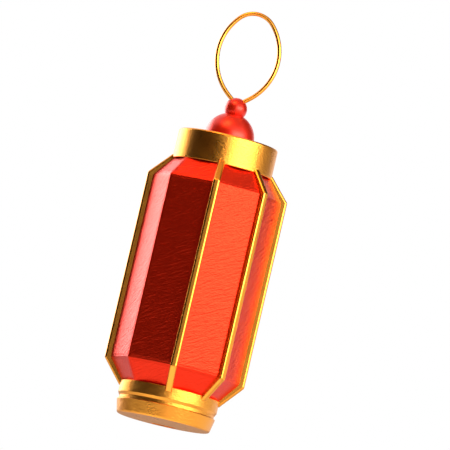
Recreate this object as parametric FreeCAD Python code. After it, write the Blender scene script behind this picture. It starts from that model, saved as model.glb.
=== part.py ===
"""Hanging festival lantern: eight-sided shade in a cage of bent ribs, round collar and base, and an
oval hanging ring through a bead that the lantern swings and turns under. Three cells in the base
light it through a frosted diffuser.

Millimetres. +Z is up and runs along the lantern's axis, the origin is the centre of the underside,
and +X lies along the wire in the bead's cross hole."""

import FreeCAD, Part
import os
from math import atan2, cos, degrees, pi, radians, sin, sqrt, tan

Vector = FreeCAD.Vector
UP = Vector(0, 0, 1)
AXIS = Vector(0, 0, 0)

# Clearances between pieces that move on each other
running_gap = 0.1
parting_gap = 0.3

# How near two measurements of an edge must be to count as the same
match_tolerance = 0.0001

# Shade: an octagonal tube that tapers in at both ends
sides = 8
shade_corner_radius = 46.7
shade_end_corner_radius = 35.4
shade_straight_height = 131.4
shade_taper_height = 14.4
panel_thickness = 1.0
panel_fold_radius = 0.8
panel_seam = 0.3
bare_fold_radius = 1.2
bare_corner_angle = 225.0

# Ribs
rib_width = 5.0
rib_depth = 3.3
rib_edge_radius = 1.5
rib_bend_radius = 2.0
rib_end_thickness = 0.6
rib_top_lap = 2.4
rib_bottom_lap = 3.3
rib_seat_depth = 3.0

# Collar, as wide as the shade's end
collar_height = 21.2
collar_wall = 1.2
collar_lid = 1.8
collar_edge_radius = 1.4
collar_lip_radius = 0.5

# Base: a fixed band with a neck, and the cap under it, each a little inside the one above
band_inset = 0.1
band_height = 10.1
band_flange = 2.0
band_edge_radius = 0.4
band_lip_height = 1.9
band_lip_depth = 1.0
neck_inset = 1.3
neck_height = 2.3
neck_wall = 1.3
cap_height = 10.0
cap_top_inset = 0.1
cap_bottom_inset = 2.2
cap_floor = 2.0
cap_foot_radius = 1.7
cap_rim_radius = 0.4
cap_spigot_wall = 1.2
cap_spigot_height = 7.0

# Rings inside the shade that the panels are bonded to
shade_ring_height = 6.0
shade_ring_wall = 3.5
upper_ring_recess = 1.2
upper_ring_flange = 2.0
lower_ring_floor = 2.0
lower_ring_drop = 5.0
lower_ring_wall = 2.5

# Dome, bead and swivel
dome_radius = 17.5
dome_centre_rise = 1.5
dome_wall = 2.4
dome_boss_radius = 6.0
bead_radius = 7.9
bead_above_dome = 20.7
bead_hole_length = 9.4
bead_hole_play = 0.2
mouth_end_play = 0.15
screw_radius = 2.0
screw_grip = 7.6
screw_head_radius = 4.0
screw_head_height = 2.8
screw_head_edge = 0.8
washer_radius = 8.5
washer_thickness = 1.0

# Hanging ring: arcs at the top and each side, and straight flanks that run down to a tip arc
wire_radius = 1.5
ring_half_width = 21.4
ring_top_radius = 15.7
ring_tip_radius = 8.0
ring_flank_length = 3.0
ring_above_bead = 5.0
ring_widest_rise = 33.4
ring_top_rise = 30.25
ring_swing = 75.0

# Cells and their holder: the cells take the length that the holder leaves, here 44.5 mm over the nub
cell_radius = 5.25
cell_nub_radius = 1.9
cell_nub_length = 0.8
cell_spacing = 0.5
cell_count = 3
cell_play = 0.15
contact_thickness = 0.4
contact_width = 8.0
contact_height = 7.4
bay_ridge_rise = 2.6
contact_tail_width = 3.0
spring_room = 4.7
spring_width = 5.0
spring_thickness = 0.4
spring_height = 8.0
holder_clearance = 0.4
holder_wall = 0.96
holder_roof = 1.5
holder_floor_gap = 1.0
holder_bay_side = 0.4

# Screws that hold the holder up
holder_screw_radius = 1.2
holder_screw_head_radius = 2.3
holder_screw_head_height = 1.6
holder_screw_inset = 3.4
holder_screw_angles = [55.0, 125.0, 270.0]
holder_screw_depth = 1.8
holder_screw_sink = 9.0

# Switch
switch_inset = 7.5
switch_length = 13.0
switch_width = 6.4
switch_height = 6.0
switch_drop = 5.2
switch_wall = 1.0
lever_length = 5.0
lever_width = 2.4
lever_foot_length = 8.0
lever_foot_width = 3.8
lever_foot_height = 1.2
lever_travel = 2.5
lever_recess = 0.4
thumb_recess_length = 18.0
thumb_recess_width = 9.0
thumb_recess_depth = 1.0

# Light
board_play = 0.2
board_thickness = 1.6
led_radius = 2.5
led_flange_radius = 2.9
led_flange_height = 1.0
led_barrel_height = 4.5
led_count = 3
led_circle_radius = 8.0
diffuser_radius = 20.0
diffuser_height = 74.0
diffuser_wall = 1.2
diffuser_flange = 1.5

# Heights worked out from the sizes above
neck_bottom = cap_height + parting_gap
band_bottom = neck_bottom + neck_height
band_top = band_bottom + band_height
lower_bend = band_top + shade_taper_height
upper_bend = lower_bend + shade_straight_height
collar_bottom = upper_bend + shade_taper_height
collar_top = collar_bottom + collar_height
lid_underside = collar_top - collar_lid
dome_centre = collar_top + dome_centre_rise
bead_centre = dome_centre + bead_above_dome
ring_bottom = bead_centre + ring_above_bead

# Radii and angles worked out from the sizes above
half_side_angle = pi / sides
shade_apothem = shade_corner_radius * cos(half_side_angle)
shade_end_apothem = shade_end_corner_radius * cos(half_side_angle)
taper_angle = atan2(shade_apothem - shade_end_apothem, shade_taper_height)
corner_taper_angle = atan2(shade_corner_radius - shade_end_corner_radius, shade_taper_height)
panel_end_wall = panel_thickness / cos(taper_angle)
shade_ring_bore = shade_end_apothem - panel_end_wall - shade_ring_wall
bare_corner = round(bare_corner_angle / degrees(2 * half_side_angle))
rib_outer_radius = shade_corner_radius + rib_depth
collar_radius = shade_end_corner_radius
collar_bore = collar_radius - collar_wall
band_radius = shade_end_corner_radius - band_inset
neck_radius = band_radius - neck_inset
neck_bore = neck_radius - neck_wall
cap_top_radius = band_radius - cap_top_inset
cap_bottom_radius = band_radius - cap_bottom_inset
spigot_radius = neck_bore - running_gap
spigot_bore = spigot_radius - cap_spigot_wall
ring_floor_bottom = band_top - lower_ring_drop
board_bottom = ring_floor_bottom + lower_ring_floor
board_top = board_bottom + board_thickness
lower_ring_spigot = shade_ring_bore + lower_ring_wall
board_radius = shade_ring_bore - board_play
holder_radius = spigot_bore - holder_clearance
holder_screw_circle = holder_radius - holder_screw_inset
cell_pitch = 2 * cell_radius + cell_spacing
cell_z = ring_floor_bottom - holder_roof - cell_play - cell_radius
holder_bottom = cap_floor + holder_floor_gap
bay_half_width = cell_pitch * (cell_count - 1) / 2 + cell_radius + holder_bay_side
bay_half_length = sqrt((holder_radius - holder_wall) ** 2 - bay_half_width**2)
cell_length = 2 * (bay_half_length - contact_thickness) - cell_nub_length - spring_room
switch_y = holder_radius - switch_inset
switch_bottom = ring_floor_bottom - switch_drop - switch_height


def polygon(points):
    """Closed face through points in order."""
    return Part.Face(Part.makePolygon([Vector(*p) for p in points + points[:1]]))


def radial_polygon(points):
    """Closed face in the plane y = 0 through (radius, height) points."""
    return polygon([(r, 0, z) for r, z in points])


def turned(points):
    """Solid of revolution about the lantern's axis, from (radius, height) points."""
    return radial_polygon(points).revolve(AXIS, UP, 360)


def cylinder(radius, bottom, top, x=0.0, y=0.0):
    return Part.makeCylinder(radius, top - bottom, Vector(x, y, bottom))


def box(x, y, z):
    """Box from three (low, high) pairs."""
    return Part.makeBox(x[1] - x[0], y[1] - y[0], z[1] - z[0], Vector(x[0], y[0], z[0]))


def sphere(radius, height):
    return Part.makeSphere(radius, Vector(0, 0, height))


def octagon(corner_radius, height):
    """Closed wire with a corner on +X."""
    points = []
    for k in range(sides + 1):
        a = 2 * half_side_angle * k
        points.append(Vector(corner_radius * cos(a), corner_radius * sin(a), height))
    return Part.makePolygon(points)


def octagonal_solid(sections):
    """Flat-sided solid through octagons given as (corner radius, height)."""
    return Part.makeLoft([octagon(r, z) for r, z in sections], True, True)


def round_rim(shape, radius, height, rounding):
    """Rounds the circular edge of the given radius at the given height."""
    rims = []
    for edge in shape.Edges:
        bounds = edge.BoundBox
        misses = [bounds.ZLength, bounds.ZMin - height, bounds.XMax - radius, bounds.XMin + radius]
        if max(abs(miss) for miss in misses) < match_tolerance:
            rims.append(edge)
    return shape.makeFillet(rounding, rims)


def turn(shape, angle):
    """Copy turned about the lantern's axis by an angle in degrees."""
    copy = shape.copy()
    copy.rotate(AXIS, UP, angle)
    return copy


def corner_angle(corner):
    return degrees(2 * half_side_angle) * corner


def bent_line(points, radius):
    """Edges through (radius, height) points in the plane y = 0, with each bend rounded."""
    edges = []
    start = Vector(points[0][0], 0, points[0][1])
    for before, here, after in zip(points, points[1:], points[2:]):
        corner = Vector(here[0], 0, here[1])
        back = (Vector(before[0], 0, before[1]) - corner).normalize()
        forth = (Vector(after[0], 0, after[1]) - corner).normalize()
        half_bend = (pi - back.getAngle(forth)) / 2
        setback = radius * tan(half_bend)
        middle = (back + forth).normalize() * (radius / cos(half_bend) - radius)
        arc_start = corner + back * setback
        arc_end = corner + forth * setback
        edges.append(Part.makeLine(start, arc_start))
        edges.append(Part.Arc(arc_start, corner + middle, arc_end).toShape())
        start = arc_end
    edges.append(Part.makeLine(start, Vector(points[-1][0], 0, points[-1][1])))
    return edges


def panel_edge_line(inset, radius):
    """Bent line of a panel's outer face (inset 0) or inner face (inset the panel's thickness)."""
    bend_shift = inset * tan(taper_angle / 2)
    end = shade_end_apothem - inset / cos(taper_angle)
    middle = shade_apothem - inset
    points = [
        (end, band_top),
        (middle, lower_bend + bend_shift),
        (middle, upper_bend - bend_shift),
        (end, collar_bottom),
    ]
    return bent_line(points, radius)


def panel_blank():
    """Folded sheet for one side, centred on +X and wider than the side."""
    outer = panel_edge_line(0.0, panel_fold_radius + panel_thickness)
    inner = panel_edge_line(panel_thickness, panel_fold_radius)
    top = Part.makeLine(outer[-1].lastVertex().Point, inner[-1].lastVertex().Point)
    bottom = Part.makeLine(outer[0].firstVertex().Point, inner[0].firstVertex().Point)
    wire = Part.Wire(Part.__sortEdges__(outer + inner + [top, bottom]))
    sheet = Part.Face(wire).extrude(Vector(0, 2 * shade_corner_radius, 0))
    sheet.translate(Vector(0, -shade_corner_radius, 0))
    return sheet


def side_wedge(gap_before, gap_after):
    """Wedge over one side, centred on +X, with its edge planes moved in by half of each seam."""
    before = gap_before / 2 / cos(half_side_angle)
    after = gap_after / 2 / cos(half_side_angle)
    near = shade_end_apothem / 2
    far = 2 * shade_corner_radius
    near_half = near * tan(half_side_angle)
    far_half = far * tan(half_side_angle)
    base = polygon(
        [
            (near, before - near_half, 0),
            (far, before - far_half, 0),
            (far, far_half - after, 0),
            (near, near_half - after, 0),
        ]
    )
    return base.extrude(Vector(0, 0, collar_top))


def shade_side(side, gap_before, gap_after):
    piece = panel_blank().common(side_wedge(gap_before, gap_after))
    return turn(piece, corner_angle(side + 0.5))


def shade_panel(side):
    return shade_side(side, panel_seam, panel_seam)


def shade_corner_points():
    """(corner radius, height) of the shade's ends and bends, from the bottom up."""
    return [
        (shade_end_corner_radius, band_top),
        (shade_corner_radius, lower_bend),
        (shade_corner_radius, upper_bend),
        (shade_end_corner_radius, collar_bottom),
    ]


def shade_panel_double():
    """The sheet that wraps the corner without a rib, with a rounded fold along that corner."""
    before = shade_side(bare_corner - 1, panel_seam, 0.0)
    after = shade_side(bare_corner, 0.0, panel_seam)
    sheet = turn(before.fuse(after).removeSplitter(), -corner_angle(bare_corner))
    corner_line = Part.makePolygon([Vector(r, 0, z) for r, z in shade_corner_points()])
    fold = []
    for edge in sheet.Edges:
        middle = edge.valueAt((edge.FirstParameter + edge.LastParameter) / 2)
        if corner_line.distToShape(Part.Vertex(middle))[0] < panel_thickness / 2:
            fold.append(edge)
    return turn(sheet.makeFillet(bare_fold_radius, fold), corner_angle(bare_corner))


def cage_core():
    """The shade, collar and band as plain solids, which the ribs lie against."""
    shade = octagonal_solid(shade_corner_points())
    collar = cylinder(collar_radius, collar_bottom, collar_top)
    band = cylinder(band_radius, band_bottom, band_top)
    return [shade, collar, band]


def rib_blank():
    """Bent bar in the plane of +X, before its back is cut to seat on the shade."""
    half = rib_width / 2
    bend_shift = rib_depth * tan(corner_taper_angle / 2)
    top = collar_bottom + rib_top_lap
    bottom = band_top - rib_bottom_lap
    outer = bent_line(
        [
            (band_radius + rib_end_thickness, bottom),
            (rib_outer_radius, lower_bend - bend_shift),
            (rib_outer_radius, upper_bend + bend_shift),
            (collar_radius + rib_end_thickness, top),
        ],
        rib_bend_radius,
    )
    back = shade_corner_radius - rib_seat_depth
    inner_points = [
        (collar_radius + rib_end_thickness, top),
        (collar_radius - rib_seat_depth, top),
        (back, upper_bend),
        (back, lower_bend),
        (band_radius - rib_seat_depth, bottom),
        (band_radius + rib_end_thickness, bottom),
    ]
    inner = Part.makePolygon([Vector(r, 0, z) for r, z in inner_points]).Edges
    face = Part.Face(Part.Wire(Part.__sortEdges__(outer + inner)))
    face.translate(Vector(0, -half, 0))
    bar = face.extrude(Vector(0, rib_width, 0))
    front_line = Part.Wire(outer)
    long_edges = []
    for edge in bar.Edges:
        point = edge.valueAt((edge.FirstParameter + edge.LastParameter) / 2)
        in_plane = Part.Vertex(point.x, 0, point.z)
        on_side = abs(abs(point.y) - half) < match_tolerance
        if on_side and front_line.distToShape(in_plane)[0] < match_tolerance:
            long_edges.append(edge)
    return bar.makeFillet(rib_edge_radius, long_edges)


def rib():
    """Rib on +X, with its back cut to the folded corner and its ends to the collar and band."""
    return rib_blank().cut(cage_core())


def top_collar():
    """Pressed cap that closes the top of the cage."""
    shell = turned(
        [
            (dome_boss_radius, collar_top),
            (collar_radius, collar_top),
            (collar_radius, collar_bottom),
            (collar_bore, collar_bottom),
            (collar_bore, lid_underside),
            (dome_boss_radius, lid_underside),
        ]
    )
    shell = round_rim(shell, collar_radius, collar_top, collar_edge_radius)
    return round_rim(shell, collar_radius, collar_bottom, collar_lip_radius)


def base_band():
    """Turned band with a chamfered lip, a neck for the cap, and a flange that the shade stands on."""
    band = turned(
        [
            (neck_bore, neck_bottom),
            (neck_radius, neck_bottom),
            (neck_radius, band_bottom),
            (band_radius - band_lip_depth, band_bottom),
            (band_radius, band_bottom + band_lip_height),
            (band_radius, band_top),
            (lower_ring_spigot, band_top),
            (lower_ring_spigot, band_top - band_flange),
            (neck_bore, band_top - band_flange),
        ]
    )
    band = round_rim(band, band_radius, band_top, band_edge_radius)
    return round_rim(band, band_radius, band_bottom + band_lip_height, band_edge_radius)


def base_cap():
    """Cup with a tapered side, whose spigot pushes into the band."""
    spigot_top = cap_height + cap_spigot_height
    cap = turned(
        [
            (0, 0),
            (cap_bottom_radius, 0),
            (cap_top_radius, cap_height),
            (spigot_radius, cap_height),
            (spigot_radius, spigot_top),
            (spigot_bore, spigot_top),
            (spigot_bore, cap_floor),
            (0, cap_floor),
        ]
    )
    cap = round_rim(cap, cap_bottom_radius, 0, cap_foot_radius)
    cap = round_rim(cap, cap_top_radius, cap_height, cap_rim_radius)
    straight = (thumb_recess_length - thumb_recess_width) / 2
    half_width = thumb_recess_width / 2
    across = (switch_y - half_width, switch_y + half_width)
    recess = box((-straight, straight), across, (0, thumb_recess_depth))
    for end in (-straight, straight):
        recess = recess.fuse(cylinder(half_width, 0, thumb_recess_depth, end, switch_y))
    slot = lever_slot(0, cap_floor)
    return cap.cut([recess, slot])


def lever_slot(bottom, top):
    """Slot that the lever's stem slides in."""
    half_x = (lever_length + lever_travel) / 2 + parting_gap
    half_y = lever_width / 2 + parting_gap
    return box((-half_x, half_x), (switch_y - half_y, switch_y + half_y), (bottom, top))


def panel_bore_corner(height_from_end):
    """Corner radius of the panels' inner face, at a height measured inwards from the shade's end."""
    apothem = shade_end_apothem - panel_end_wall + height_from_end * tan(taper_angle)
    return apothem / cos(half_side_angle)


def upper_shade_ring():
    """Ring bonded inside the panels' upper ends, with a flange in the collar's bore."""
    flange_bottom = collar_bottom + upper_ring_recess
    end_corner = panel_bore_corner(0)
    ring = octagonal_solid(
        [
            (panel_bore_corner(shade_ring_height), collar_bottom - shade_ring_height),
            (end_corner, collar_bottom),
            (end_corner, flange_bottom),
        ]
    )
    flange = cylinder(collar_bore, flange_bottom, flange_bottom + upper_ring_flange)
    bore = cylinder(shade_ring_bore, collar_bottom - shade_ring_height, collar_top)
    return ring.fuse(flange).cut(bore).removeSplitter()


def screw_places():
    """X and Y of each screw that holds the battery holder up."""
    places = []
    for angle in holder_screw_angles:
        a = radians(angle)
        places.append((holder_screw_circle * cos(a), holder_screw_circle * sin(a)))
    return places


def lower_shade_ring():
    """Ring bonded inside the panels' lower ends, with a dish through the band for the board."""
    ring = octagonal_solid(
        [
            (panel_bore_corner(0), band_top),
            (panel_bore_corner(shade_ring_height), band_top + shade_ring_height),
        ]
    )
    dish = cylinder(lower_ring_spigot, ring_floor_bottom, band_top)
    bore = cylinder(shade_ring_bore, board_bottom, band_top + shade_ring_height)
    cuts = [bore, contact_tails()]
    for x, y in screw_places():
        cuts.append(cylinder(holder_screw_radius, ring_floor_bottom, board_bottom, x, y))
    return ring.fuse(dish).cut(cuts).removeSplitter()


def finial_dome():
    """Hollow dome with a dish for the bead, and a boss that locates it in the collar's lid."""
    spigot_bottom = lid_underside + running_gap
    dish = sphere(bead_radius + parting_gap, bead_centre)
    dish_backing = sphere(bead_radius + parting_gap + dome_wall, bead_centre)
    boss = cylinder(dome_boss_radius, spigot_bottom, bead_centre)
    outside = sphere(dome_radius, dome_centre).cut(cylinder(collar_radius, collar_bottom, collar_top))
    hollow = sphere(dome_radius - dome_wall, dome_centre).cut([boss, dish_backing])
    spigot = cylinder(dome_boss_radius, spigot_bottom, dome_centre)
    screw_bore = cylinder(screw_radius + running_gap, spigot_bottom, bead_centre)
    return outside.cut(hollow).fuse(spigot).cut([dish, screw_bore]).removeSplitter()


def ring_path(offset):
    """Closed outline of the hanging ring's wire in the plane y = 0, offset outwards, with its lowest
    point at the origin. Each side is two arcs that meet where the ring is widest."""
    half = ring_half_width
    widest = ring_widest_rise
    rise = ring_top_rise
    top_r = ring_top_radius
    tip_r = ring_tip_radius
    high_r = (half**2 + rise**2 - 2 * top_r * rise) / (2 * (half - top_r))
    low_r = (half**2 + (widest - tip_r) ** 2 - tip_r**2 - ring_flank_length**2) / (2 * (half - tip_r))
    top_z = widest + rise - top_r
    shoulder = atan2(rise - top_r, high_r - half)
    below = -atan2(widest - tip_r, low_r - half) + atan2(ring_flank_length, low_r - tip_r)

    def on_arc(x, z, radius, angle):
        return Vector(x + (radius + offset) * cos(angle), 0, z + (radius + offset) * sin(angle))

    tip_mid = on_arc(0, tip_r, tip_r, -pi / 2)
    tip_end = on_arc(0, tip_r, tip_r, below)
    low_start = on_arc(half - low_r, widest, low_r, below)
    low_mid = on_arc(half - low_r, widest, low_r, below / 2)
    widest_point = on_arc(half - low_r, widest, low_r, 0)
    high_mid = on_arc(half - high_r, widest, high_r, shoulder / 2)
    high_end = on_arc(half - high_r, widest, high_r, shoulder)
    top_mid = on_arc(0, top_z, top_r, pi / 2)

    def mirrored(point):
        return Vector(-point.x, 0, point.z)

    return Part.Wire(
        [
            Part.Arc(mirrored(tip_end), tip_mid, tip_end).toShape(),
            Part.makeLine(tip_end, low_start),
            Part.Arc(low_start, low_mid, widest_point).toShape(),
            Part.Arc(widest_point, high_mid, high_end).toShape(),
            Part.Arc(high_end, top_mid, mirrored(high_end)).toShape(),
            Part.Arc(mirrored(high_end), mirrored(high_mid), mirrored(widest_point)).toShape(),
            Part.Arc(mirrored(widest_point), mirrored(low_mid), mirrored(low_start)).toShape(),
            Part.makeLine(mirrored(low_start), mirrored(tip_end)),
        ]
    )


def bent_wire(radius):
    """Round wire of the given radius along the ring's outline."""
    path = ring_path(0.0)
    first = path.Edges[0]
    start = first.valueAt(first.FirstParameter)
    section = Part.Wire(Part.makeCircle(radius, start, first.tangentAt(first.FirstParameter)))
    return path.makePipeShell([section], True, False)


def raised_to_hinge(shape):
    """Copy of a shape made about the origin, moved up to where the ring hangs in the bead."""
    copy = shape.copy()
    copy.translate(Vector(0, 0, ring_bottom))
    return copy


def hanging_ring():
    return raised_to_hinge(bent_wire(wire_radius))


def bead_mouths():
    """The bead's cross hole, and the fan that the wire sweeps through it as it swings, both about
    the origin."""
    along = Vector(1, 0, 0)
    clear = wire_radius + running_gap
    window = box((-bead_radius, bead_radius), (-wire_radius, wire_radius), (0, bead_radius))
    band = Part.Face(ring_path(clear)).cut(Part.Face(ring_path(-clear)))
    cutters = []
    for flap in band.common(window).Faces:
        flap.rotate(AXIS, along, -ring_swing)
        cutters.append(flap.revolve(AXIS, along, 2 * ring_swing))
    hole_start = Vector(-bead_hole_length / 2, 0, 0)
    cutters.append(Part.makeCylinder(wire_radius + bead_hole_play, bead_hole_length, hole_start, along))
    for angle in (-ring_swing, ring_swing):
        wire = bent_wire(wire_radius + mouth_end_play)
        wire.rotate(AXIS, along, angle)
        cutters.append(wire)
    return cutters


def finial_bead():
    """Bead with a cross hole for the hanging ring and a bore for the swivel screw."""
    centre = -ring_above_bead
    foot = centre - bead_radius
    bead = sphere(bead_radius, centre).cut(cylinder(screw_radius, foot, foot + screw_grip))
    for cutter in bead_mouths():
        bead = bead.cut(cutter)
    return raised_to_hinge(bead)


def swivel_screw():
    """Pan-head screw up through the collar and dome into the bead."""
    shoulder = lid_underside - running_gap - washer_thickness
    shank = cylinder(screw_radius, shoulder, bead_centre - bead_radius + screw_grip)
    head = cylinder(screw_head_radius, shoulder - screw_head_height, shoulder)
    head = round_rim(head, screw_head_radius, shoulder - screw_head_height, screw_head_edge)
    return head.fuse(shank)


def swivel_washer():
    top = lid_underside - running_gap
    return cylinder(washer_radius, top - washer_thickness, top).cut(cylinder(screw_radius, 0, top))


def cell_places():
    """Y of each cell, with the direction that its nub points along X."""
    first = -cell_pitch * (cell_count - 1) / 2
    return [(first + cell_pitch * k, -1 if k % 2 == 0 else 1) for k in range(cell_count)]


def rod_along_x(radius, start, end, y):
    low = min(start, end)
    return Part.makeCylinder(radius, abs(end - start), Vector(low, y, cell_z), Vector(1, 0, 0))


def battery_cell(y, way):
    """Cell with its nub against the contact on the given side."""
    nub_tip = way * (bay_half_length - contact_thickness)
    shoulder = nub_tip - way * cell_nub_length
    body = rod_along_x(cell_radius, shoulder, shoulder - way * cell_length, y)
    return body.fuse(rod_along_x(cell_nub_radius, shoulder, nub_tip, y))


def contact_plate(way, y_low, y_high):
    outer = way * bay_half_length
    inner = way * (bay_half_length - contact_thickness)
    half = contact_width / 2
    top = cell_z + bay_ridge_rise
    across = (min(outer, inner), max(outer, inner))
    return box(across, (y_low - half, y_high + half), (top - contact_height, top))


def contact_tail(way, y):
    """Strip that carries an end contact up to the board."""
    outer = way * bay_half_length
    inner = way * (bay_half_length - contact_thickness)
    half = contact_tail_width / 2
    across = (min(outer, inner), max(outer, inner))
    return box(across, (y - half, y + half), (cell_z, board_bottom))


def contact_tails():
    (first_y, first_way) = cell_places()[0]
    (last_y, last_way) = cell_places()[-1]
    return Part.makeCompound([contact_tail(first_way, first_y), contact_tail(-last_way, last_y)])


def contact_plates():
    """Two end contacts with tails, and the bridges that join the cells in series."""
    cells = cell_places()
    first_y, first_way = cells[0]
    last_y, last_way = cells[-1]
    plates = [
        contact_plate(first_way, first_y, first_y).fuse(contact_tail(first_way, first_y)),
        contact_plate(-last_way, last_y, last_y).fuse(contact_tail(-last_way, last_y)),
    ]
    for (y, way), (next_y, _) in zip(cells, cells[1:]):
        plates.append(contact_plate(-way, y, next_y))
    return Part.makeCompound([plate.removeSplitter() for plate in plates])


def contact_spring(y, way):
    """Bowed leaf between a cell's flat end and its contact."""
    foot = -way * (bay_half_length - contact_thickness)
    crown = foot + way * spring_room
    half = spring_height / 2

    def leaf_arc(inset):
        low = Vector(foot, y, cell_z - half + inset)
        high = Vector(foot, y, cell_z + half - inset)
        return Part.Arc(low, Vector(crown - way * inset, y, cell_z), high).toShape()

    outer = leaf_arc(0.0)
    inner = leaf_arc(spring_thickness)
    ends = [
        Part.makeLine(outer.firstVertex().Point, inner.firstVertex().Point),
        Part.makeLine(outer.lastVertex().Point, inner.lastVertex().Point),
    ]
    face = Part.Face(Part.Wire(Part.__sortEdges__([outer, inner] + ends)))
    face.translate(Vector(0, -spring_width / 2, 0))
    return face.extrude(Vector(0, spring_width, 0))


def battery_holder():
    """Moulded drum with a bay for the cells, open below, and a pocket for the switch."""
    drum = cylinder(holder_radius, holder_bottom, ring_floor_bottom)
    ridge = cell_z + bay_ridge_rise
    bay_length = (-bay_half_length, bay_half_length)
    bay_width = (-bay_half_width, bay_half_width)
    bay = box(bay_length, bay_width, (holder_bottom, ridge))
    cuts = [bay, switch_box(holder_bottom, switch_bottom + switch_height), contact_tails()]
    for y, _ in cell_places():
        cuts.append(rod_along_x(cell_radius + cell_play, -bay_half_length, bay_half_length, y))
    sink_top = holder_bottom + holder_screw_sink
    for x, y in screw_places():
        cuts.append(cylinder(holder_screw_head_radius, holder_bottom, sink_top, x, y))
        cuts.append(cylinder(holder_screw_radius, sink_top, ring_floor_bottom, x, y))
    return drum.cut(cuts)


def holder_screws():
    """Screws up through the holder into the lower ring's floor."""
    screws = []
    sink_top = holder_bottom + holder_screw_sink
    tip = ring_floor_bottom + holder_screw_depth
    for x, y in screw_places():
        head = cylinder(holder_screw_head_radius, sink_top - holder_screw_head_height, sink_top, x, y)
        screws.append(head.fuse(cylinder(holder_screw_radius, sink_top, tip, x, y)))
    return Part.makeCompound(screws)


def switch_box(bottom, top):
    half_x = switch_length / 2
    half_y = switch_width / 2
    return box((-half_x, half_x), (switch_y - half_y, switch_y + half_y), (bottom, top))


def foot_room():
    """Space inside the switch that the lever's foot slides in."""
    half_x = (lever_foot_length + lever_travel) / 2 + parting_gap
    half_y = lever_foot_width / 2 + parting_gap
    bottom = switch_bottom + switch_wall
    top = bottom + lever_foot_height + 2 * parting_gap
    return box((-half_x, half_x), (switch_y - half_y, switch_y + half_y), (bottom, top))


def switch_housing():
    housing = switch_box(switch_bottom, switch_bottom + switch_height)
    return housing.cut([foot_room(), lever_slot(switch_bottom, switch_bottom + switch_wall)])


def switch_lever():
    """Stem with a foot that keeps it in the housing, at the off end of its travel."""
    foot_bottom = switch_bottom + switch_wall + parting_gap
    x = -lever_travel / 2

    def block(length, width, bottom, top):
        along = (x - length / 2, x + length / 2)
        across = (switch_y - width / 2, switch_y + width / 2)
        return box(along, across, (bottom, top))

    foot = block(lever_foot_length, lever_foot_width, foot_bottom, foot_bottom + lever_foot_height)
    return foot.fuse(block(lever_length, lever_width, lever_recess, foot_bottom)).removeSplitter()


def circuit_board():
    return cylinder(board_radius, board_bottom, board_top)


def led_lamps():
    """Domed lamps in a circle on the board."""
    lamps = []
    for k in range(led_count):
        angle = 2 * pi * k / led_count
        x = led_circle_radius * cos(angle)
        y = led_circle_radius * sin(angle)
        shoulder = board_top + led_barrel_height
        flange = cylinder(led_flange_radius, board_top, board_top + led_flange_height, x, y)
        barrel = cylinder(led_radius, board_top, shoulder, x, y)
        dome = Part.makeSphere(led_radius, Vector(x, y, shoulder))
        lamps.append(flange.fuse([barrel, dome]).removeSplitter())
    return Part.makeCompound(lamps)


def light_diffuser():
    """Frosted tube with a round top, on a flange that lies on the board."""
    top_centre = board_top + diffuser_height - diffuser_radius
    inner_radius = diffuser_radius - diffuser_wall
    flange = cylinder(board_radius, board_top, board_top + diffuser_flange)
    outside = cylinder(diffuser_radius, board_top, top_centre).fuse(sphere(diffuser_radius, top_centre))
    inside = cylinder(inner_radius, board_top, top_centre).fuse(sphere(inner_radius, top_centre))
    return flange.fuse(outside).cut(inside).removeSplitter()


def export(name, shape):
    shape.exportStep(f"parts/{name}.step")
    print(f"{name}: {len(shape.Solids)} solids, {shape.Volume:.1f} mm3, valid {shape.isValid()}")


def main():
    os.makedirs("parts", exist_ok=True)
    export("hanging_ring", hanging_ring())
    export("finial_bead", finial_bead())
    export("swivel_screw", swivel_screw())
    export("swivel_washer", swivel_washer())
    export("finial_dome", finial_dome())
    export("top_collar", top_collar())
    export("upper_shade_ring", upper_shade_ring())
    export("lower_shade_ring", lower_shade_ring())
    export("base_band", base_band())
    export("base_cap", base_cap())

    straight_rib = rib()
    ribbed_corners = [k for k in range(sides) if k != bare_corner]
    for number, corner in enumerate(ribbed_corners, start=1):
        export(f"rib_{number}", turn(straight_rib, corner_angle(corner)))

    single_sides = [k for k in range(sides) if k not in (bare_corner - 1, bare_corner)]
    for number, side in enumerate(single_sides, start=1):
        export(f"shade_panel_{number}", shade_panel(side))
    export("shade_panel_double", shade_panel_double())

    export("battery_holder", battery_holder())
    export("holder_screws", holder_screws())
    for number, (y, way) in enumerate(cell_places(), start=1):
        export(f"battery_cell_{number}", battery_cell(y, way))
    export("contact_plates", contact_plates())
    export("contact_springs", Part.makeCompound([contact_spring(y, way) for y, way in cell_places()]))
    export("switch_housing", switch_housing())
    export("switch_lever", switch_lever())
    export("circuit_board", circuit_board())
    export("led_lamps", led_lamps())
    export("light_diffuser", light_diffuser())


main()
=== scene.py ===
"""Looks of the hanging festival lantern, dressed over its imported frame: finishes, a smooth wire ring,
embossed film on the shade, a studio and a camera."""

import math

import bmesh
import bpy
from mathutils import Matrix, Vector


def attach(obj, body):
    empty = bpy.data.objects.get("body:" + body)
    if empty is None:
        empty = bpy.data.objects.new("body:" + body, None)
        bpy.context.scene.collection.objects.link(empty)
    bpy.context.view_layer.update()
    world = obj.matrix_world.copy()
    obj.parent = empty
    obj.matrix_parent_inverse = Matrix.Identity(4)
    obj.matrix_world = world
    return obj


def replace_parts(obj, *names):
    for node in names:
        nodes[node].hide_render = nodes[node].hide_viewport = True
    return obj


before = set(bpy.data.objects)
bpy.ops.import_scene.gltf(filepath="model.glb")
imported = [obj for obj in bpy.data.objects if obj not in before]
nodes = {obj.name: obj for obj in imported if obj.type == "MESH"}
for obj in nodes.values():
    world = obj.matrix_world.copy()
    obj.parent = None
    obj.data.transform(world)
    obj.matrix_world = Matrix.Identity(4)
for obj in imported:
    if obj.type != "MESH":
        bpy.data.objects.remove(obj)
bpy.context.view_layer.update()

MM = 0.001

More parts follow.
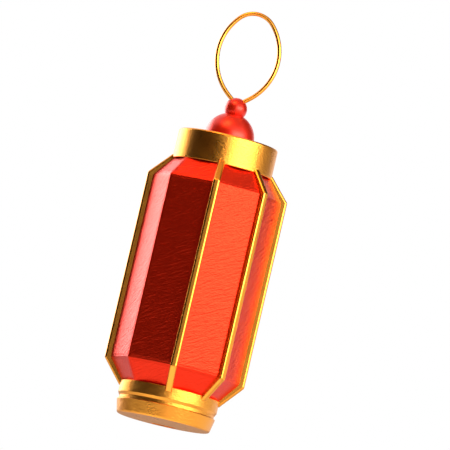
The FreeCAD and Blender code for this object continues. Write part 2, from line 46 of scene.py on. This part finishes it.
# Hanging ring, in millimetres: the wire, the arcs of its outline and where it is widest
WIRE_RADIUS = 1.5
RING_TOP_RADIUS = 15.7
RING_TIP_RADIUS = 8.0
RING_FLANK_LENGTH = 3.0
RING_WIDEST_RISE = 33.4
ARC_STEPS = 40
WIRE_SIDES = 32

# Embossed film on the shade's flats, in millimetres: its grid, how it meets a flat's edges, and the
# spacing, length, depth, slant and waviness of its creases
FILM_CELL = 0.4
FILM_MARGIN = 1.6
FILM_SINK = 0.03
CREASE_SPACING = 1.2
CREASE_LENGTH = 8.0
CREASE_DEPTH = 0.26
CREASE_SLANT = math.radians(28)
CREASE_SWAY = 5.0
CREASE_SWIRL = 25.0

# Flats of the shade: their corners as seen from outside, and the least area, in square millimetres,
# which tells a flat from a panel's edges
FLAT_CORNERS = ("Lower Left", "Lower Right", "Upper Left", "Upper Right")
SMALLEST_FLAT = 300.0

# Studio, in metres: the floor's height, and a point inside the lantern, which the lamps look at
FLOOR_HEIGHT = -1.2
HEART = Vector((0, 0, 0.12))

# Where the camera stands, in degrees: round from -Y towards +X, and above the horizon
CAMERA_AZIMUTH = 1.89
CAMERA_ELEVATION = -5.84


# ---------------------------------------------------------------- colours and nodes


def linear(hex_colour):
    """Linear RGBA of an sRGB colour written as '#RRGGBB'."""
    channels = [int(hex_colour[k : k + 2], 16) / 255 for k in (1, 3, 5)]
    turned = [c / 12.92 if c <= 0.04045 else ((c + 0.055) / 1.055) ** 2.4 for c in channels]
    return (*turned, 1.0)


def add(tree, kind, settings=None, inputs=None, links=None):
    """Adds a node: settings are its properties, inputs its socket values, links its incoming sockets."""
    node = tree.nodes.new(kind)
    for name, value in (settings or {}).items():
        setattr(node, name, value)
    for name, value in (inputs or {}).items():
        node.inputs[name].default_value = value
    for name, socket in (links or {}).items():
        tree.links.new(socket, node.inputs[name])
    return node


def new_material(name):
    """An empty material, its tree and the socket that takes its surface."""
    material = bpy.data.materials.new(name)
    material.use_nodes = True
    tree = material.node_tree
    tree.nodes.clear()
    surface = add(tree, "ShaderNodeOutputMaterial").inputs["Surface"]
    return material, tree, surface


def place_in_mm(tree):
    """Place on the object in millimetres, which the textures are laid out by."""
    place = add(tree, "ShaderNodeTexCoord").outputs["Object"]
    in_mm = add(tree, "ShaderNodeVectorMath", {"operation": "SCALE"}, {"Scale": 1 / MM}, {0: place})
    return in_mm.outputs[0]


# ---------------------------------------------------------------- materials


def embossed_foil_card():
    """Red metallised film laminated to card and embossed by the roll: it gives a deep satin red that
    mirrors the lamps softly and breaks them up in slanting grain. The real grain is about half a
    millimetre wide, too fine to show, so it is drawn coarser."""
    grain_mm = 1.8
    drift_mm = 26.0
    material, tree, surface = new_material("embossed_red_foil_card")
    place = place_in_mm(tree)
    slant = {"Rotation": (0.0, CREASE_SLANT, 0.0), "Scale": (1.0, 1.0, 2.4)}
    slanted = add(tree, "ShaderNodeMapping", None, slant, {"Vector": place}).outputs[0]
    fine = {"Scale": 1 / grain_mm, "Detail": 3.0, "Roughness": 0.6}
    grain = add(tree, "ShaderNodeTexNoise", None, fine, {"Vector": slanted}).outputs["Fac"]
    cloudy = {"Scale": 1 / drift_mm, "Detail": 2.0}
    drift = add(tree, "ShaderNodeTexNoise", None, cloudy, {"Vector": place}).outputs["Fac"]
    reds = {6: linear("#E52B10"), 7: linear("#EB3113")}
    tone = add(tree, "ShaderNodeMix", {"data_type": "RGBA"}, reds, {0: drift}).outputs[2]
    satin = {"To Min": 0.28, "To Max": 0.36}
    wear = add(tree, "ShaderNodeMapRange", None, satin, {"Value": grain}).outputs[0]
    relief = add(tree, "ShaderNodeBump", None, {"Distance": 0.25 * MM}, {"Height": grain}).outputs[0]
    film = add(
        tree,
        "ShaderNodeBsdfPrincipled",
        None,
        {"Metallic": 0.85, "Specular IOR Level": 0.4},
        {"Base Color": tone, "Roughness": wear, "Normal": relief},
    )
    tree.links.new(film.outputs[0], surface)
    return material


def gold_plate(name, roughness, crinkle_mm, crinkle_depth):
    """Gold-plated brass, polished or crinkle-rolled: the plating's tone drifts a little, and the
    crinkle draws the mirrored lamps out into flecks. A real crinkle is under a millimetre across, too
    fine to show, so it is drawn coarser."""
    drift_mm = 14.0
    material, tree, surface = new_material(name)
    place = place_in_mm(tree)
    cloudy = {"Scale": 1 / drift_mm, "Detail": 2.0}
    drift = add(tree, "ShaderNodeTexNoise", None, cloudy, {"Vector": place}).outputs["Fac"]
    slant = {"Rotation": (0.0, -2 * CREASE_SLANT, 0.0), "Scale": (1.0, 1.0, 2.0)}
    slanted = add(tree, "ShaderNodeMapping", None, slant, {"Vector": place}).outputs[0]
    fine = {"Scale": 1 / crinkle_mm, "Detail": 4.0, "Roughness": 0.6}
    crinkle = add(tree, "ShaderNodeTexNoise", None, fine, {"Vector": slanted}).outputs["Fac"]
    golds = {6: linear("#FBA23A"), 7: linear("#FDAA42")}
    tone = add(tree, "ShaderNodeMix", {"data_type": "RGBA"}, golds, {0: drift}).outputs[2]
    polish = {"To Min": roughness * 0.85, "To Max": roughness * 1.2}
    wear = add(tree, "ShaderNodeMapRange", None, polish, {"Value": drift}).outputs[0]
    depth = {"Distance": crinkle_depth * MM}
    relief = add(tree, "ShaderNodeBump", None, depth, {"Height": crinkle}).outputs[0]
    plate = add(
        tree,
        "ShaderNodeBsdfPrincipled",
        None,
        {"Metallic": 1.0},
        {"Base Color": tone, "Roughness": wear, "Normal": relief},
    )
    tree.links.new(plate.outputs[0], surface)
    return material


def metallic_lacquer():
    """Sprayed metallic red lacquer on turned beads: a glowing red under a soft clear shine, with the
    faint waviness of the coat."""
    wave_mm = 6.0
    material, tree, surface = new_material("metallic_red_lacquer")
    place = place_in_mm(tree)
    wavy = {"Scale": 1 / wave_mm, "Detail": 2.0}
    wave = add(tree, "ShaderNodeTexNoise", None, wavy, {"Vector": place}).outputs["Fac"]
    reds = {6: linear("#EC280A"), 7: linear("#F22E0D")}
    tone = add(tree, "ShaderNodeMix", {"data_type": "RGBA"}, reds, {0: wave}).outputs[2]
    shine = {"To Min": 0.34, "To Max": 0.42}
    wear = add(tree, "ShaderNodeMapRange", None, shine, {"Value": wave}).outputs[0]
    relief = add(tree, "ShaderNodeBump", None, {"Distance": 0.03 * MM}, {"Height": wave}).outputs[0]
    lacquer = add(
        tree,
        "ShaderNodeBsdfPrincipled",
        None,
        {"Metallic": 0.65, "Specular IOR Level": 0.4, "Coat Weight": 0.4, "Coat Roughness": 0.3},
        {"Base Color": tone, "Roughness": wear, "Normal": relief},
    )
    tree.links.new(lacquer.outputs[0], surface)
    return material


def moulded_plastic(name, deep, pale, roughness, grain_mm=0.9):
    """Plastic, moulded, cast or printed on: an even colour with a fine dull grain, such as a
    spark-eroded mould leaves. The real grain is about a tenth of a millimetre, too fine to show, so it
    is drawn coarser."""
    material, tree, surface = new_material(name)
    place = place_in_mm(tree)
    fine = {"Scale": 1 / grain_mm, "Detail": 2.0}
    grain = add(tree, "ShaderNodeTexNoise", None, fine, {"Vector": place}).outputs["Fac"]
    colours = {6: linear(deep), 7: linear(pale)}
    tone = add(tree, "ShaderNodeMix", {"data_type": "RGBA"}, colours, {0: grain}).outputs[2]
    dullness = {"To Min": roughness * 0.85, "To Max": roughness * 1.15}
    wear = add(tree, "ShaderNodeMapRange", None, dullness, {"Value": grain}).outputs[0]
    relief = add(tree, "ShaderNodeBump", None, {"Distance": 0.03 * MM}, {"Height": grain}).outputs[0]
    plastic = add(
        tree,
        "ShaderNodeBsdfPrincipled",
        None,
        {"IOR": 1.5},
        {"Base Color": tone, "Roughness": wear, "Normal": relief},
    )
    tree.links.new(plastic.outputs[0], surface)
    return material


def plated_steel(name, deep, pale, roughness):
    """Zinc or nickel plating on steel: a grey metal with cloudy variation in its polish."""
    cloud_mm = 2.5
    material, tree, surface = new_material(name)
    place = place_in_mm(tree)
    cloudy = {"Scale": 1 / cloud_mm, "Detail": 3.0}
    cloud = add(tree, "ShaderNodeTexNoise", None, cloudy, {"Vector": place}).outputs["Fac"]
    greys = {6: linear(deep), 7: linear(pale)}
    tone = add(tree, "ShaderNodeMix", {"data_type": "RGBA"}, greys, {0: cloud}).outputs[2]
    polish = {"To Min": roughness * 0.8, "To Max": roughness * 1.3}
    wear = add(tree, "ShaderNodeMapRange", None, polish, {"Value": cloud}).outputs[0]
    steel = add(
        tree, "ShaderNodeBsdfPrincipled", None, {"Metallic": 1.0}, {"Base Color": tone, "Roughness": wear}
    )
    tree.links.new(steel.outputs[0], surface)
    return material


def paint(names, material):
    """Gives CAD nodes the material in place of the one they were imported with."""
    for name in names:
        slots = nodes[name].data.materials
        slots.clear()
        slots.append(material)


# ---------------------------------------------------------------- growing meshes


def new_tree(name, inputs):
    """A geometry tree with its named inputs, and where its inputs and its result are plugged in."""
    tree = bpy.data.node_groups.new(name, "GeometryNodeTree")
    tree.interface.new_socket("Geometry", in_out="OUTPUT", socket_type="NodeSocketGeometry")
    for label, kind in inputs.items():
        tree.interface.new_socket(label, in_out="INPUT", socket_type="NodeSocket" + kind)
    return tree, add(tree, "NodeGroupInput").outputs, add(tree, "NodeGroupOutput").inputs["Geometry"]


def end_tree(tree, mesh, material, result):
    """Ends a tree: smooth faces, real meshes in place of instances, and the material."""
    smooth = add(tree, "GeometryNodeSetShadeSmooth", links={0: mesh})
    real = add(tree, "GeometryNodeRealizeInstances", links={0: smooth.outputs[0]})
    dressed = add(tree, "GeometryNodeSetMaterial", links={0: real.outputs[0], "Material": material})
    tree.links.new(dressed.outputs[0], result)


def grow(name, tree, values, start=None):
    """Plain mesh that the tree grows from a starting mesh, with its inputs set by name."""
    seedling = bpy.data.objects.new(name, start or bpy.data.meshes.new(name + "_start"))
    bpy.context.scene.collection.objects.link(seedling)
    modifier = seedling.modifiers.new(name, "NODES")
    modifier.node_group = tree
    for item in tree.interface.items_tree:
        if item.in_out == "INPUT" and item.name in values:
            modifier[item.identifier] = values[item.name]
    grown = seedling.evaluated_get(bpy.context.evaluated_depsgraph_get())
    mesh = bpy.data.meshes.new_from_object(grown)
    seedling.modifiers.remove(modifier)
    bpy.data.objects.remove(seedling)
    mesh.name = name
    return mesh


def wear_on(name, mesh, body):
    """Puts a grown mesh into the scene as a piece that rides a body."""
    piece = bpy.data.objects.new(name, mesh)
    bpy.context.scene.collection.objects.link(piece)
    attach(piece, body)
    return piece


# ---------------------------------------------------------------- hanging ring


def ring_centreline():
    """Closed line through the middle of the ring's wire: two arcs up each side, which meet where the
    ring is widest, a straight flank below them and a small round tip."""
    corners = [vertex.co for vertex in nodes["hanging_ring"].data.vertices]
    half = max(corner.x for corner in corners) / MM - WIRE_RADIUS
    bottom = min(corner.z for corner in corners) / MM + WIRE_RADIUS
    top = max(corner.z for corner in corners) / MM - WIRE_RADIUS
    rise = top - bottom - RING_WIDEST_RISE
    below_widest = RING_WIDEST_RISE - RING_TIP_RADIUS
    tip_squares = RING_TIP_RADIUS**2 + RING_FLANK_LENGTH**2
    high_radius = (half**2 + rise**2 - 2 * RING_TOP_RADIUS * rise) / (2 * (half - RING_TOP_RADIUS))
    low_radius = (half**2 + below_widest**2 - tip_squares) / (2 * (half - RING_TIP_RADIUS))
    shoulder = math.atan2(rise - RING_TOP_RADIUS, high_radius - half)
    flank_turn = math.atan2(RING_FLANK_LENGTH, low_radius - RING_TIP_RADIUS)
    below = flank_turn - math.atan2(below_widest, low_radius - half)
    widest = bottom + RING_WIDEST_RISE
    arcs = [
        (0.0, bottom + RING_TIP_RADIUS, RING_TIP_RADIUS, -math.pi / 2, below),
        (half - low_radius, widest, low_radius, below, 0.0),
        (half - high_radius, widest, high_radius, 0.0, shoulder),
        (0.0, top - RING_TOP_RADIUS, RING_TOP_RADIUS, shoulder, math.pi / 2),
    ]
    right = []
    for x, z, radius, start, end in arcs:
        for step in range(ARC_STEPS):
            angle = start + (end - start) * step / ARC_STEPS
            right.append(Vector((x + radius * math.cos(angle), 0, z + radius * math.sin(angle))))
    left = [Vector((-point.x, 0, point.z)) for point in reversed(right[1:])]
    return [point * MM for point in right + [Vector((0, 0, top))] + left]


def bent_wire_tree():
    """Round wire along the starting mesh's line."""
    inputs = {"Line": "Geometry", "Wire Radius": "Float", "Sides": "Int", "Material": "Material"}
    tree, given, result = new_tree("bent_wire", inputs)
    line = add(tree, "GeometryNodeMeshToCurve", links={"Mesh": given["Line"]})
    section = add(
        tree,
        "GeometryNodeCurvePrimitiveCircle",
        links={"Radius": given["Wire Radius"], "Resolution": given["Sides"]},
    )
    wire = add(
        tree,
        "GeometryNodeCurveToMesh",
        links={"Curve": line.outputs[0], "Profile Curve": section.outputs[0]},
    )
    end_tree(tree, wire.outputs[0], given["Material"], result)
    return tree


def hanging_ring(material):
    """Hanging ring of smooth round wire, in place of the faceted one."""
    points = ring_centreline()
    line = bpy.data.meshes.new("ring_line")
    line.from_pydata(points, [(k, (k + 1) % len(points)) for k in range(len(points))], [])
    values = {"Wire Radius": WIRE_RADIUS * MM, "Sides": WIRE_SIDES, "Material": material}
    wire = grow("smooth_hanging_ring", bent_wire_tree(), values, line)
    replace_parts(wear_on("smooth_hanging_ring", wire, "ring"), "hanging_ring")


# ---------------------------------------------------------------- embossed film


def outer_flats(panel):
    """Corners of each flat on a shade panel's outer face: lower left and right, upper left and right,
    as seen from outside."""
    mesh = nodes[panel].data
    by_direction = {}
    for face in mesh.polygons:
        direction = tuple(round(part, 2) for part in face.normal)
        by_direction.setdefault(direction, []).append(face)
    flats = []
    for faces in by_direction.values():
        normal = faces[0].normal
        centre = faces[0].center
        outward = normal.x * centre.x + normal.y * centre.y
        if outward <= 0 or sum(face.area for face in faces) < SMALLEST_FLAT * MM**2:
            continue
        corners = {mesh.vertices[k].co.copy().freeze() for face in faces for k in face.vertices}
        across = Vector((0, 0, 1)).cross(normal)
        by_height = sorted(corners, key=lambda corner: corner.z)
        low = sorted(by_height[:2], key=lambda corner: corner.dot(across))
        high = sorted(by_height[-2:], key=lambda corner: corner.dot(across))
        flats.append(low + high)
    return flats


def place_on_flat(tree, given, along):
    """Place between the flat's corners: across its lower and upper edges, then up between the two."""
    edges = []
    for level in ("Lower", "Upper"):
        ends = {0: along["X"], 4: given[level + " Left"], 5: given[level + " Right"]}
        edges.append(add(tree, "ShaderNodeMix", {"data_type": "VECTOR"}, None, ends).outputs[1])
    between = {0: along["Y"], 4: edges[0], 5: edges[1]}
    return add(tree, "ShaderNodeMix", {"data_type": "VECTOR"}, None, between).outputs[1]


def crease_height(tree, given, spread):
    """Height of the creases: noise drawn out along the slant, on lines that sway to and fro."""
    swirl = add(
        tree,
        "ShaderNodeTexNoise",
        {"noise_dimensions": "4D"},
        {"Scale": 1 / (CREASE_SWIRL * MM), "Detail": 1.0},
        {"Vector": spread, "W": given["Seed"]},
    )
    sideways = {0: swirl.outputs["Color"], "Scale": given["Sway"]}
    shift = add(tree, "ShaderNodeVectorMath", {"operation": "SCALE"}, None, sideways)
    swayed = add(tree, "ShaderNodeVectorMath", {"operation": "ADD"}, None, {0: spread, 1: shift.outputs[0]})
    turned = add(
        tree,
        "ShaderNodeVectorRotate",
        {"rotation_type": "Z_AXIS", "invert": True},
        None,
        {"Vector": swayed.outputs[0], "Angle": given["Crease Slant"]},
    )
    lengths = {"X": given["Crease Length"], "Y": given["Crease Spacing"]}
    crease_size = add(tree, "ShaderNodeCombineXYZ", None, {"Z": 1.0}, lengths)
    parts = {0: turned.outputs[0], 1: crease_size.outputs[0]}
    drawn_out = add(tree, "ShaderNodeVectorMath", {"operation": "DIVIDE"}, None, parts)
    creases = add(
        tree,
        "ShaderNodeTexNoise",
        {"noise_dimensions": "4D"},
        {"Scale": 1.0, "Detail": 2.0, "Roughness": 0.5},
        {"Vector": drawn_out.outputs[0], "W": given["Seed"]},
    )
    height = add(
        tree,
        "ShaderNodeMapRange",
        None,
        {"From Min": 0.25, "From Max": 0.75},
        {"Value": creases.outputs["Fac"], "To Max": given["Crease Depth"]},
    )
    return height.outputs[0]


def share_of_relief(tree, given, square, size):
    """How much of the relief shows: none on the flat's edges, and all of it from the margin inwards."""
    from_middle = add(tree, "ShaderNodeVectorMath", {"operation": "ABSOLUTE"}, None, {0: square})
    corner = {0: (0.5, 0.5, 0.0)}
    inwards = {1: from_middle.outputs[0]}
    to_edge = add(tree, "ShaderNodeVectorMath", {"operation": "SUBTRACT"}, corner, inwards)
    factors = {0: to_edge.outputs[0], 1: size}
    in_metres = add(tree, "ShaderNodeVectorMath", {"operation": "MULTIPLY"}, None, factors)
    edges = add(tree, "ShaderNodeSeparateXYZ", links={0: in_metres.outputs[0]}).outputs
    nearest = add(tree, "ShaderNodeMath", {"operation": "MINIMUM"}, None, {0: edges["X"], 1: edges["Y"]})
    share = add(
        tree,
        "ShaderNodeMapRange",
        {"interpolation_type": "SMOOTHSTEP"},
        None,
        {"Value": nearest.outputs[0], "From Max": given["Margin"]},
    )
    return share.outputs[0]


def square_to_flat(tree, given):
    """Direction square to the flat, pointing out of the lantern."""
    sides = []
    for corner in ("Lower Right", "Upper Left"):
        ends = {0: given[corner], 1: given["Lower Left"]}
        sides.append(add(tree, "ShaderNodeVectorMath", {"operation": "SUBTRACT"}, None, ends).outputs[0])
    pair = {0: sides[0], 1: sides[1]}
    crossed = add(tree, "ShaderNodeVectorMath", {"operation": "CROSS_PRODUCT"}, None, pair)
    normal = add(tree, "ShaderNodeVectorMath", {"operation": "NORMALIZE"}, None, {0: crossed.outputs[0]})
    return normal.outputs[0]


def film_tree():
    """Film on one flat between four corners: a fine grid, raised in creases that run at a slant and die
    out at its edges, where it goes down into the flat."""
    sizes = ["Width", "Height", "Margin", "Sink"]
    creases = ["Crease Spacing", "Crease Length", "Crease Depth", "Crease Slant", "Sway", "Seed"]
    inputs = dict.fromkeys(FLAT_CORNERS, "Vector")
    inputs |= dict.fromkeys(sizes + creases, "Float")
    inputs |= {"Cells Across": "Int", "Cells Up": "Int", "Material": "Material"}
    tree, given, result = new_tree("embossed_film", inputs)
    grid = add(
        tree,
        "GeometryNodeMeshGrid",
        None,
        {"Size X": 1.0, "Size Y": 1.0},
        {"Vertices X": given["Cells Across"], "Vertices Y": given["Cells Up"]},
    )
    square = add(tree, "GeometryNodeInputPosition").outputs[0]
    from_corner = add(tree, "ShaderNodeVectorMath", {"operation": "ADD"}, {1: (0.5, 0.5, 0.0)}, {0: square})
    along = add(tree, "ShaderNodeSeparateXYZ", links={0: from_corner.outputs[0]}).outputs
    size = add(tree, "ShaderNodeCombineXYZ", links={"X": given["Width"], "Y": given["Height"]}).outputs[0]
    spread = add(tree, "ShaderNodeVectorMath", {"operation": "MULTIPLY"}, None, {0: square, 1: size})

    # The creases rise from a film that stands proud of the flat by the sink, and its edges go as far
    # below the flat, so the relief fades over twice the sink
    height = crease_height(tree, given, spread.outputs[0])
    proud = add(tree, "ShaderNodeMath", {"operation": "ADD"}, None, {0: height, 1: given["Sink"]})
    rise = add(tree, "ShaderNodeMath", {"operation": "ADD"}, None, {0: proud.outputs[0], 1: given["Sink"]})
    factors = {0: rise.outputs[0], 1: share_of_relief(tree, given, square, size)}
    faded = add(tree, "ShaderNodeMath", {"operation": "MULTIPLY"}, None, factors)
    levels = {0: faded.outputs[0], 1: given["Sink"]}
    relief = add(tree, "ShaderNodeMath", {"operation": "SUBTRACT"}, None, levels)

    outwards = {0: square_to_flat(tree, given), "Scale": relief.outputs[0]}
    offset = add(tree, "ShaderNodeVectorMath", {"operation": "SCALE"}, None, outwards)
    moved = add(
        tree,
        "GeometryNodeSetPosition",
        links={
            "Geometry": grid.outputs["Mesh"],
            "Position": place_on_flat(tree, given, along),
            "Offset": offset.outputs[0],
        },
    )
    end_tree(tree, moved.outputs[0], given["Material"], result)
    return tree


def film_on_flat(name, tree, corners, seed, material):
    """Embossed film over one flat between its four corners."""
    lower_left, lower_right, upper_left, upper_right = corners
    width = max((lower_right - lower_left).length, (upper_right - upper_left).length)
    height = ((upper_left + upper_right) / 2 - (lower_left + lower_right) / 2).length
    values = dict(zip(FLAT_CORNERS, corners))
    values |= {
        "Width": width,
        "Height": height,
        "Cells Across": round(width / (FILM_CELL * MM)),
        "Cells Up": round(height / (FILM_CELL * MM)),
        "Crease Spacing": CREASE_SPACING * MM,
        "Crease Length": CREASE_LENGTH * MM,
        "Crease Depth": CREASE_DEPTH * MM,
        "Crease Slant": CREASE_SLANT,
        "Sway": CREASE_SWAY * MM,
        "Margin": FILM_MARGIN * MM,
        "Sink": FILM_SINK * MM,
        "Seed": seed,
        "Material": material,
    }
    return grow(name, tree, values)


def shade_film(panels, material):
    """Embossed film over every outer flat of the shade, one piece for each panel."""
    tree = film_tree()
    for number, panel in enumerate(panels):
        joined = bmesh.new()
        for part, corners in enumerate(outer_flats(panel)):
            seed = 10.0 * number + part
            joined.from_mesh(film_on_flat(f"film_{number}_{part}", tree, corners, seed, material))
        film = bpy.data.meshes.new(f"embossed_film_{number + 1}")
        joined.to_mesh(film)
        joined.free()
        film.materials.append(material)
        wear_on(film.name, film, "lantern")


# ---------------------------------------------------------------- studio


def card(name, width, height):
    """Flat square-cornered card, centred on its own origin and facing along its own Z."""
    x = width / 2
    y = height / 2
    mesh = bpy.data.meshes.new(name)
    mesh.from_pydata([(-x, -y, 0), (x, -y, 0), (x, y, 0), (-x, y, 0)], [], [(0, 1, 2, 3)])
    sheet = bpy.data.objects.new(name, mesh)
    bpy.context.scene.collection.objects.link(sheet)
    return sheet


def pale_floor(height, width):
    """Plain pale floor far below the lantern, fading out to the white round it, and open from below
    so that the underside can be seen."""
    drift_mm = 400.0
    floor = card("studio_floor", width, width)
    floor.location.z = height
    material, tree, surface = new_material("pale_studio_floor")
    place = place_in_mm(tree)
    cloudy = {"Scale": 1 / drift_mm, "Detail": 2.0}
    drift = add(tree, "ShaderNodeTexNoise", None, cloudy, {"Vector": place}).outputs["Fac"]
    whites = {6: linear("#F2F1EF"), 7: linear("#F6F5F3")}
    tone = add(tree, "ShaderNodeMix", {"data_type": "RGBA"}, whites, {0: drift}).outputs[2]
    matt = add(tree, "ShaderNodeBsdfDiffuse", links={"Color": tone}).outputs[0]
    clear = add(tree, "ShaderNodeBsdfTransparent").outputs[0]
    reach = add(tree, "ShaderNodeVectorMath", {"operation": "LENGTH"}, None, {0: place}).outputs["Value"]
    rim = {"From Min": 0.2 * width / MM, "From Max": 0.48 * width / MM}
    fade = add(tree, "ShaderNodeMapRange", {"interpolation_type": "SMOOTHSTEP"}, rim, {"Value": reach})
    back = add(tree, "ShaderNodeNewGeometry").outputs["Backfacing"]
    hidden = add(tree, "ShaderNodeMath", {"operation": "MAXIMUM"}, None, {0: fade.outputs[0], 1: back})
    mix = add(tree, "ShaderNodeMixShader", links={0: hidden.outputs[0], 1: matt, 2: clear})
    tree.links.new(mix.outputs[0], surface)
    floor.data.materials.append(material)


def around(centre, bearing, elevation, distance):
    """Point round the lantern: bearing 0 is towards the camera, positive to the camera's right."""
    turn = math.radians(bearing + CAMERA_AZIMUTH)
    climb = math.radians(elevation)
    level = math.cos(climb) * distance
    return centre + Vector((math.sin(turn) * level, -math.cos(turn) * level, math.sin(climb) * distance))


def aim(obj, place, target):
    """Puts a lamp or card at a place, with its lit side (-Z) towards the target."""
    obj.location = place
    obj.rotation_mode = "QUATERNION"
    obj.rotation_quaternion = (target - place).to_track_quat("-Z", "Y")


def softbox(name, centre, direction, distance, size, level, colour="#FFFFFF"):
    """Rectangular lamp whose face has the given brightness, where 1 shows as white."""
    width, height = size
    light = bpy.data.lights.new(name, "AREA")
    light.shape = "RECTANGLE"
    light.size = width
    light.size_y = height
    light.energy = level * math.pi * width * height
    light.color = linear(colour)[:3]
    lamp = bpy.data.objects.new(name, light)
    bpy.context.scene.collection.objects.link(lamp)
    aim(lamp, around(centre, *direction, distance), centre)
    lamp.visible_camera = False


def flag(name, centre, direction, distance, size, colour):
    """Card of the brightness that its colour shows, for the metal to mirror in place of the white."""
    cloth = card(name, *size)
    aim(cloth, around(centre, *direction, distance), centre)
    cloth.visible_camera = False
    material, tree, surface = new_material(name + "_card")
    glow = add(tree, "ShaderNodeEmission", None, {"Color": linear(colour), "Strength": 1.0})
    tree.links.new(glow.outputs[0], surface)
    cloth.data.materials.append(material)


def white_world(fill):
    """White to the camera and in mirrors, and a plain soft fill for everything else."""
    world = bpy.data.worlds.new("studio")
    bpy.context.scene.world = world
    world.use_nodes = True
    tree = world.node_tree
    tree.nodes.clear()
    path = add(tree, "ShaderNodeLightPath").outputs
    larger = {"operation": "MAXIMUM"}
    seen = add(tree, "ShaderNodeMath", larger, None, {0: path["Is Camera Ray"], 1: path["Is Glossy Ray"]})
    shown = add(tree, "ShaderNodeMath", larger, None, {0: seen.outputs[0], 1: path["Is Transmission Ray"]})
    plain = linear("#FFFFFF")
    dim = add(tree, "ShaderNodeBackground", None, {"Color": plain, "Strength": fill}).outputs[0]
    white = add(tree, "ShaderNodeBackground", None, {"Color": plain, "Strength": 1.0}).outputs[0]
    mix = add(tree, "ShaderNodeMixShader", links={0: shown.outputs[0], 1: dim, 2: white})
    add(tree, "ShaderNodeOutputWorld", links={"Surface": mix.outputs[0]})


def set_camera():
    """Long lens from a little below, rolled so that the lantern leans to the right and hangs to the
    left of the picture's middle."""
    distance = 6.99
    lens = 800.0
    sensor = 36.0
    roll = math.radians(13.12)
    target = Vector((0, 0, 0.1028))
    shift_right = 0.02027
    shift_up = 0.0385
    place = around(target, 0.0, CAMERA_ELEVATION, distance)
    data = bpy.data.cameras.new("camera")
    data.sensor_width = sensor
    data.lens = lens
    data.clip_start = distance * 0.1
    data.clip_end = distance * 4
    camera = bpy.data.objects.new("camera", data)
    camera.rotation_mode = "QUATERNION"
    level = (target - place).to_track_quat("-Z", "Y")
    turned = level @ Matrix.Rotation(roll, 3, "Z").to_quaternion()
    camera.rotation_quaternion = turned
    camera.location = place + turned @ Vector((shift_right, shift_up, 0))
    bpy.context.scene.collection.objects.link(camera)
    bpy.context.scene.camera = camera


# ---------------------------------------------------------------- the lantern

polished_gold = gold_plate("polished_gold_plate", roughness=0.25, crinkle_mm=3.0, crinkle_depth=0.01)
satin_gold = gold_plate("crinkle_rolled_gold_plate", roughness=0.28, crinkle_mm=1.8, crinkle_depth=0.26)
red_foil = embossed_foil_card()
red_lacquer = metallic_lacquer()
red_moulding = moulded_plastic("red_abs", "#5A0A06", "#640C08", roughness=0.5)
black_moulding = moulded_plastic("black_abs", "#161616", "#1C1C1C", roughness=0.5)
board_mask = moulded_plastic("white_solder_mask", "#E4E4DF", "#ECECE8", roughness=0.4, grain_mm=0.5)
frosted = moulded_plastic("frosted_polycarbonate", "#EDEBE4", "#F2F0EA", roughness=0.55, grain_mm=0.6)
lamp_resin = moulded_plastic("amber_epoxy", "#E8C070", "#F0CC80", roughness=0.15)
cell_film = moulded_plastic("grey_cell_film", "#3A4048", "#444A52", roughness=0.35)
screw_steel = plated_steel("zinc_plated_steel", "#A8A8AC", "#BDBDC0", roughness=0.35)
contact_nickel = plated_steel("nickel_plated_steel", "#B5B2AA", "#C8C5BE", roughness=0.25)

ribs = [f"rib_{k}" for k in range(1, 8)]
panels = [f"shade_panel_{k}" for k in range(1, 7)] + ["shade_panel_double"]
cells = [f"battery_cell_{k}" for k in range(1, 4)]

paint(["hanging_ring"] + ribs, polished_gold)
paint(["top_collar", "base_band", "base_cap"], satin_gold)
paint(["finial_bead", "finial_dome"], red_lacquer)
paint(panels, red_foil)
paint(["upper_shade_ring", "lower_shade_ring"], red_moulding)
paint(["battery_holder", "switch_housing", "switch_lever"], black_moulding)
paint(["circuit_board"], board_mask)
paint(["light_diffuser"], frosted)
paint(["led_lamps"], lamp_resin)
paint(cells, cell_film)
paint(["swivel_screw", "swivel_washer", "holder_screws"], screw_steel)
paint(["contact_plates", "contact_springs"], contact_nickel)

hanging_ring(polished_gold)
shade_film(panels, red_foil)

set_camera()
pale_floor(FLOOR_HEIGHT, width=5.0)
white_world(fill=0.12)

# Lamps: each looks at a point, from so many degrees round from the camera and so many up
softbox("key_softbox", HEART, (40, 16), distance=1.2, size=(1.2, 0.62), level=6.0)
softbox("back_left_softbox", HEART, (-134, 12), distance=1.2, size=(0.95, 0.65), level=3.2)
softbox("high_warm_softbox", HEART, (-38, 60), distance=1.2, size=(0.5, 0.5), level=8.0, colour="#FFB868")
softbox("low_softbox", HEART, (0, -80), distance=0.9, size=(1.5, 1.5), level=0.5)
floor_middle = Vector((0, 0, FLOOR_HEIGHT))
softbox("floor_softbox", floor_middle, (0, 90), distance=0.5, size=(2.6, 2.6), level=0.6)

# Cards that the metal mirrors in place of the white round it, placed as the lamps are
flag("left_flag", HEART, (-52.5, 13), distance=0.9, size=(2.36, 1.2), colour="#080504")
flag("right_flag", HEART, (112, 27), distance=1.0, size=(1.0, 0.8), colour="#5E544C")
flag("back_flag", HEART, (180, -19), distance=1.1, size=(1.1, 0.5), colour="#A8A09A")
flag("low_left_flag", HEART, (-118, -14), distance=1.0, size=(0.72, 0.4), colour="#6A5A4C")
flag("high_right_flag", HEART, (125, 48), distance=1.1, size=(1.3, 0.5), colour="#40342C")
flag("low_front_flag", HEART, (30, -28), distance=1.0, size=(1.6, 0.4), colour="#FFE4D0")
flag("overhead_flag", HEART, (10, 84), distance=1.35, size=(1.6, 1.6), colour="#B8A898")

bpy.context.scene.view_settings.view_transform = "Standard"
